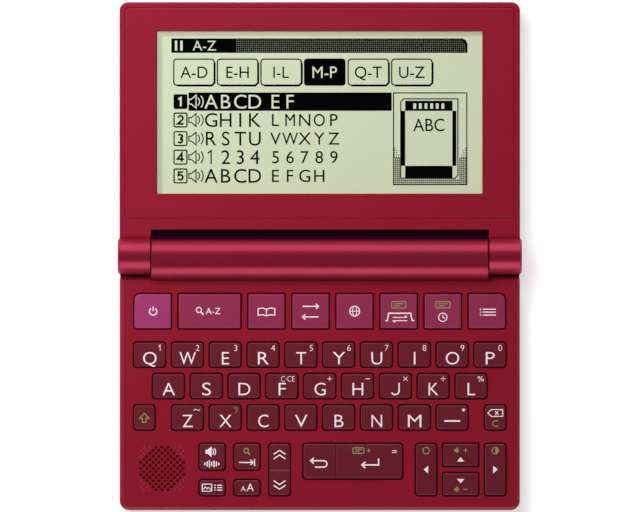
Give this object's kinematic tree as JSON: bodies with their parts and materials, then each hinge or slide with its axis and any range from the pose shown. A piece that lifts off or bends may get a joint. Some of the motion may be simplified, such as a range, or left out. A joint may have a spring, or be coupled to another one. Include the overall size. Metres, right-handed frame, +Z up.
{
  "type": "electronic dictionary",
  "caption": "Clamshell electronic dictionary lying open flat: keyboard base with function row, letter grid and arrow cluster, battery barrel at the hinge, and a lid with a pale display.",
  "frame": {"origin": "on the table under the hinge axis, in the middle of the width", "axes": "+X to the right of the keyboard, +Y from the hinge over the open lid, +Z up out of the keys"},
  "size_m": [0.126, 0.1586, 0.016],
  "materials": {
    "case_red": "satin",
    "key_maroon": "satin",
    "key_plum": "satin",
    "key_magenta": "satin",
    "black_plastic": "matte",
    "steel": "satin",
    "cell": "satin",
    "board": "satin",
    "dome_rubber": "matte",
    "lcd": "gloss",
    "legend_white": "matte",
    "legend_green": "matte",
    "display_ink": "matte",
    "foot_rubber": "matte"
  },
  "bodies": {
    "base": {"lower_case": "case_red", "upper_case": "case_red", "batteries": "cell", "circuit_board": "board", "rubber_dome_sheet": "dome_rubber", "speaker": "black_plastic", "hinge_shaft_left": "steel", "hinge_shaft_right": "steel"},
    "lid": {"lid_back_cover": "case_red", "lid_bezel": "case_red", "lcd_panel": "lcd"},
    "battery_cover": {"battery_cover": "case_red"},
    "key_power": {"key_power": "key_magenta"},
    "key_menu": {"key_menu": "key_plum"},
    "key_function_1": {"key_function_1": "key_plum"},
    "key_function_2": {"key_function_2": "key_plum"},
    "key_function_3": {"key_function_3": "key_plum"},
    "key_function_4": {"key_function_4": "key_plum"},
    "key_function_5": {"key_function_5": "key_plum"},
    "key_function_6": {"key_function_6": "key_plum"},
    "key_q": {"key_q": "key_maroon"},
    "key_w": {"key_w": "key_maroon"},
    "key_e": {"key_e": "key_maroon"},
    "key_r": {"key_r": "key_maroon"},
    "key_t": {"key_t": "key_maroon"},
    "key_y": {"key_y": "key_maroon"},
    "key_u": {"key_u": "key_maroon"},
    "key_i": {"key_i": "key_maroon"},
    "key_o": {"key_o": "key_maroon"},
    "key_p": {"key_p": "key_maroon"},
    "key_a": {"key_a": "key_maroon"},
    "key_s": {"key_s": "key_maroon"},
    "key_d": {"key_d": "key_maroon"},
    "key_f": {"key_f": "key_maroon"},
    "key_g": {"key_g": "key_maroon"},
    "key_h": {"key_h": "key_maroon"},
    "key_j": {"key_j": "key_maroon"},
    "key_k": {"key_k": "key_maroon"},
    "key_l": {"key_l": "key_maroon"},
    "key_z": {"key_z": "key_maroon"},
    "key_x": {"key_x": "key_maroon"},
    "key_c": {"key_c": "key_maroon"},
    "key_v": {"key_v": "key_maroon"},
    "key_b": {"key_b": "key_maroon"},
    "key_n": {"key_n": "key_maroon"},
    "key_m": {"key_m": "key_maroon"},
    "key_shift": {"key_shift": "key_maroon"},
    "key_dash": {"key_dash": "key_maroon"},
    "key_delete": {"key_delete": "key_maroon"},
    "key_voice": {"key_voice": "key_maroon"},
    "key_jump": {"key_jump": "key_maroon"},
    "key_figure": {"key_figure": "key_maroon"},
    "key_font_size": {"key_font_size": "key_maroon"},
    "key_back": {"key_back": "key_maroon"},
    "key_enter": {"key_enter": "key_maroon"},
    "key_left": {"key_left": "key_maroon"},
    "key_up": {"key_up": "key_maroon"},
    "key_down": {"key_down": "key_maroon"},
    "key_right": {"key_right": "key_maroon"},
    "key_page_rocker": {"key_page_rocker": "key_maroon"}
  },
  "joints": [
    {"name": "lid_hinge", "type": "hinge", "parent": "base", "child": "lid", "pos_m": [0, 0, 0.0102], "axis": [1, 0, 0], "range_deg": [0, 180]},
    {"name": "battery_cover_slide", "type": "slide", "parent": "base", "child": "battery_cover", "axis": [0, 1, 0], "range_m": [0, 0.003]},
    {"name": "key_power_press", "type": "slide", "parent": "base", "child": "key_power", "axis": [0, 0, -1], "range_m": [0, 0.0008], "stiffness_N_per_m": 700},
    {"name": "key_menu_press", "type": "slide", "parent": "base", "child": "key_menu", "axis": [0, 0, -1], "range_m": [0, 0.0008], "stiffness_N_per_m": 700},
    {"name": "key_function_1_press", "type": "slide", "parent": "base", "child": "key_function_1", "axis": [0, 0, -1], "range_m": [0, 0.0008], "stiffness_N_per_m": 700},
    {"name": "key_function_2_press", "type": "slide", "parent": "base", "child": "key_function_2", "axis": [0, 0, -1], "range_m": [0, 0.0008], "stiffness_N_per_m": 700},
    {"name": "key_function_3_press", "type": "slide", "parent": "base", "child": "key_function_3", "axis": [0, 0, -1], "range_m": [0, 0.0008], "stiffness_N_per_m": 700},
    {"name": "key_function_4_press", "type": "slide", "parent": "base", "child": "key_function_4", "axis": [0, 0, -1], "range_m": [0, 0.0008], "stiffness_N_per_m": 700},
    {"name": "key_function_5_press", "type": "slide", "parent": "base", "child": "key_function_5", "axis": [0, 0, -1], "range_m": [0, 0.0008], "stiffness_N_per_m": 700},
    {"name": "key_function_6_press", "type": "slide", "parent": "base", "child": "key_function_6", "axis": [0, 0, -1], "range_m": [0, 0.0008], "stiffness_N_per_m": 700},
    {"name": "key_q_press", "type": "slide", "parent": "base", "child": "key_q", "axis": [0, 0, -1], "range_m": [0, 0.0008], "stiffness_N_per_m": 700, "deforming": ["rubber_dome_sheet"]},
    {"name": "key_w_press", "type": "slide", "parent": "base", "child": "key_w", "axis": [0, 0, -1], "range_m": [0, 0.0008], "stiffness_N_per_m": 700},
    {"name": "key_e_press", "type": "slide", "parent": "base", "child": "key_e", "axis": [0, 0, -1], "range_m": [0, 0.0008], "stiffness_N_per_m": 700},
    {"name": "key_r_press", "type": "slide", "parent": "base", "child": "key_r", "axis": [0, 0, -1], "range_m": [0, 0.0008], "stiffness_N_per_m": 700},
    {"name": "key_t_press", "type": "slide", "parent": "base", "child": "key_t", "axis": [0, 0, -1], "range_m": [0, 0.0008], "stiffness_N_per_m": 700},
    {"name": "key_y_press", "type": "slide", "parent": "base", "child": "key_y", "axis": [0, 0, -1], "range_m": [0, 0.0008], "stiffness_N_per_m": 700},
    {"name": "key_u_press", "type": "slide", "parent": "base", "child": "key_u", "axis": [0, 0, -1], "range_m": [0, 0.0008], "stiffness_N_per_m": 700},
    {"name": "key_i_press", "type": "slide", "parent": "base", "child": "key_i", "axis": [0, 0, -1], "range_m": [0, 0.0008], "stiffness_N_per_m": 700},
    {"name": "key_o_press", "type": "slide", "parent": "base", "child": "key_o", "axis": [0, 0, -1], "range_m": [0, 0.0008], "stiffness_N_per_m": 700},
    {"name": "key_p_press", "type": "slide", "parent": "base", "child": "key_p", "axis": [0, 0, -1], "range_m": [0, 0.0008], "stiffness_N_per_m": 700},
    {"name": "key_a_press", "type": "slide", "parent": "base", "child": "key_a", "axis": [0, 0, -1], "range_m": [0, 0.0008], "stiffness_N_per_m": 700},
    {"name": "key_s_press", "type": "slide", "parent": "base", "child": "key_s", "axis": [0, 0, -1], "range_m": [0, 0.0008], "stiffness_N_per_m": 700},
    {"name": "key_d_press", "type": "slide", "parent": "base", "child": "key_d", "axis": [0, 0, -1], "range_m": [0, 0.0008], "stiffness_N_per_m": 700},
    {"name": "key_f_press", "type": "slide", "parent": "base", "child": "key_f", "axis": [0, 0, -1], "range_m": [0, 0.0008], "stiffness_N_per_m": 700},
    {"name": "key_g_press", "type": "slide", "parent": "base", "child": "key_g", "axis": [0, 0, -1], "range_m": [0, 0.0008], "stiffness_N_per_m": 700},
    {"name": "key_h_press", "type": "slide", "parent": "base", "child": "key_h", "axis": [0, 0, -1], "range_m": [0, 0.0008], "stiffness_N_per_m": 700},
    {"name": "key_j_press", "type": "slide", "parent": "base", "child": "key_j", "axis": [0, 0, -1], "range_m": [0, 0.0008], "stiffness_N_per_m": 700},
    {"name": "key_k_press", "type": "slide", "parent": "base", "child": "key_k", "axis": [0, 0, -1], "range_m": [0, 0.0008], "stiffness_N_per_m": 700},
    {"name": "key_l_press", "type": "slide", "parent": "base", "child": "key_l", "axis": [0, 0, -1], "range_m": [0, 0.0008], "stiffness_N_per_m": 700},
    {"name": "key_z_press", "type": "slide", "parent": "base", "child": "key_z", "axis": [0, 0, -1], "range_m": [0, 0.0008], "stiffness_N_per_m": 700},
    {"name": "key_x_press", "type": "slide", "parent": "base", "child": "key_x", "axis": [0, 0, -1], "range_m": [0, 0.0008], "stiffness_N_per_m": 700},
    {"name": "key_c_press", "type": "slide", "parent": "base", "child": "key_c", "axis": [0, 0, -1], "range_m": [0, 0.0008], "stiffness_N_per_m": 700},
    {"name": "key_v_press", "type": "slide", "parent": "base", "child": "key_v", "axis": [0, 0, -1], "range_m": [0, 0.0008], "stiffness_N_per_m": 700},
    {"name": "key_b_press", "type": "slide", "parent": "base", "child": "key_b", "axis": [0, 0, -1], "range_m": [0, 0.0008], "stiffness_N_per_m": 700},
    {"name": "key_n_press", "type": "slide", "parent": "base", "child": "key_n", "axis": [0, 0, -1], "range_m": [0, 0.0008], "stiffness_N_per_m": 700},
    {"name": "key_m_press", "type": "slide", "parent": "base", "child": "key_m", "axis": [0, 0, -1], "range_m": [0, 0.0008], "stiffness_N_per_m": 700},
    {"name": "key_shift_press", "type": "slide", "parent": "base", "child": "key_shift", "axis": [0, 0, -1], "range_m": [0, 0.0008], "stiffness_N_per_m": 700},
    {"name": "key_dash_press", "type": "slide", "parent": "base", "child": "key_dash", "axis": [0, 0, -1], "range_m": [0, 0.0008], "stiffness_N_per_m": 700},
    {"name": "key_delete_press", "type": "slide", "parent": "base", "child": "key_delete", "axis": [0, 0, -1], "range_m": [0, 0.0008], "stiffness_N_per_m": 700},
    {"name": "key_voice_press", "type": "slide", "parent": "base", "child": "key_voice", "axis": [0, 0, -1], "range_m": [0, 0.0008], "stiffness_N_per_m": 700},
    {"name": "key_jump_press", "type": "slide", "parent": "base", "child": "key_jump", "axis": [0, 0, -1], "range_m": [0, 0.0008], "stiffness_N_per_m": 700},
    {"name": "key_figure_press", "type": "slide", "parent": "base", "child": "key_figure", "axis": [0, 0, -1], "range_m": [0, 0.0008], "stiffness_N_per_m": 700},
    {"name": "key_font_size_press", "type": "slide", "parent": "base", "child": "key_font_size", "axis": [0, 0, -1], "range_m": [0, 0.0008], "stiffness_N_per_m": 700},
    {"name": "key_back_press", "type": "slide", "parent": "base", "child": "key_back", "axis": [0, 0, -1], "range_m": [0, 0.0008], "stiffness_N_per_m": 700},
    {"name": "key_enter_press", "type": "slide", "parent": "base", "child": "key_enter", "axis": [0, 0, -1], "range_m": [0, 0.0008], "stiffness_N_per_m": 700},
    {"name": "key_left_press", "type": "slide", "parent": "base", "child": "key_left", "axis": [0, 0, -1], "range_m": [0, 0.0008], "stiffness_N_per_m": 700},
    {"name": "key_up_press", "type": "slide", "parent": "base", "child": "key_up", "axis": [0, 0, -1], "range_m": [0, 0.0008], "stiffness_N_per_m": 700},
    {"name": "key_down_press", "type": "slide", "parent": "base", "child": "key_down", "axis": [0, 0, -1], "range_m": [0, 0.0008], "stiffness_N_per_m": 700},
    {"name": "key_right_press", "type": "slide", "parent": "base", "child": "key_right", "axis": [0, 0, -1], "range_m": [0, 0.0008], "stiffness_N_per_m": 700},
    {"name": "page_rocker_tilt", "type": "hinge", "parent": "base", "child": "key_page_rocker", "pos_m": [-0.01253, -0.06655, 0.0072], "axis": [1, 0, 0], "range_deg": [-4, 4], "stiffness_Nm_per_rad": 0.077}
  ]
}
